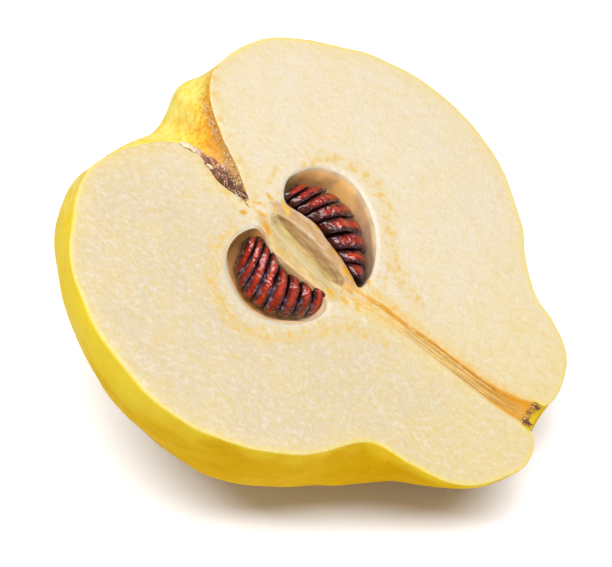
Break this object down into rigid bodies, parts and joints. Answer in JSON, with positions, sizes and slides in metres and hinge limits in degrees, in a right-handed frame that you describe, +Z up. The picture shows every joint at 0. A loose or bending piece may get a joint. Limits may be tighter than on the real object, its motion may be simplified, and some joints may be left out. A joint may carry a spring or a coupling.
{
  "type": "halved quince",
  "caption": "Ripe yellow quince cut lengthwise through its core, resting on its rounded skin with the open seed chambers facing up.",
  "frame": {"origin": "on the surface it rests on, under the middle of the part's bounding box", "axes": "+X horizontally along the core from the calyx end to the stem end, +Y level across the cut face, +Z up; the cut face tips 25.3 degrees down towards +X"},
  "size_m": [0.0988, 0.0952, 0.0622],
  "materials": {
    "quince_skin": "satin yellow skin round cream flesh",
    "seed_coat": "wet, dark red-brown",
    "dry_calyx_and_stem": "dry and crumbly"
  },
  "bodies": {
    "root": {"quince_half": "quince_skin", "seed_near_1": "seed_coat", "seed_near_2": "seed_coat", "seed_near_3": "seed_coat", "seed_near_4": "seed_coat", "seed_near_5": "seed_coat", "seed_near_6": "seed_coat", "seed_near_7": "seed_coat", "seed_near_8": "seed_coat", "seed_far_1": "seed_coat", "seed_far_2": "seed_coat", "seed_far_3": "seed_coat", "seed_far_4": "seed_coat", "seed_far_5": "seed_coat", "seed_far_6": "seed_coat", "seed_far_7": "seed_coat", "seed_far_8": "seed_coat", "dry_sepal_1": "dry_calyx_and_stem", "dry_sepal_2": "dry_calyx_and_stem", "dry_sepal_3": "dry_calyx_and_stem", "stamen_tuft": "dry_calyx_and_stem", "stem_stub": "dry_calyx_and_stem"}
  },
  "joints": []
}
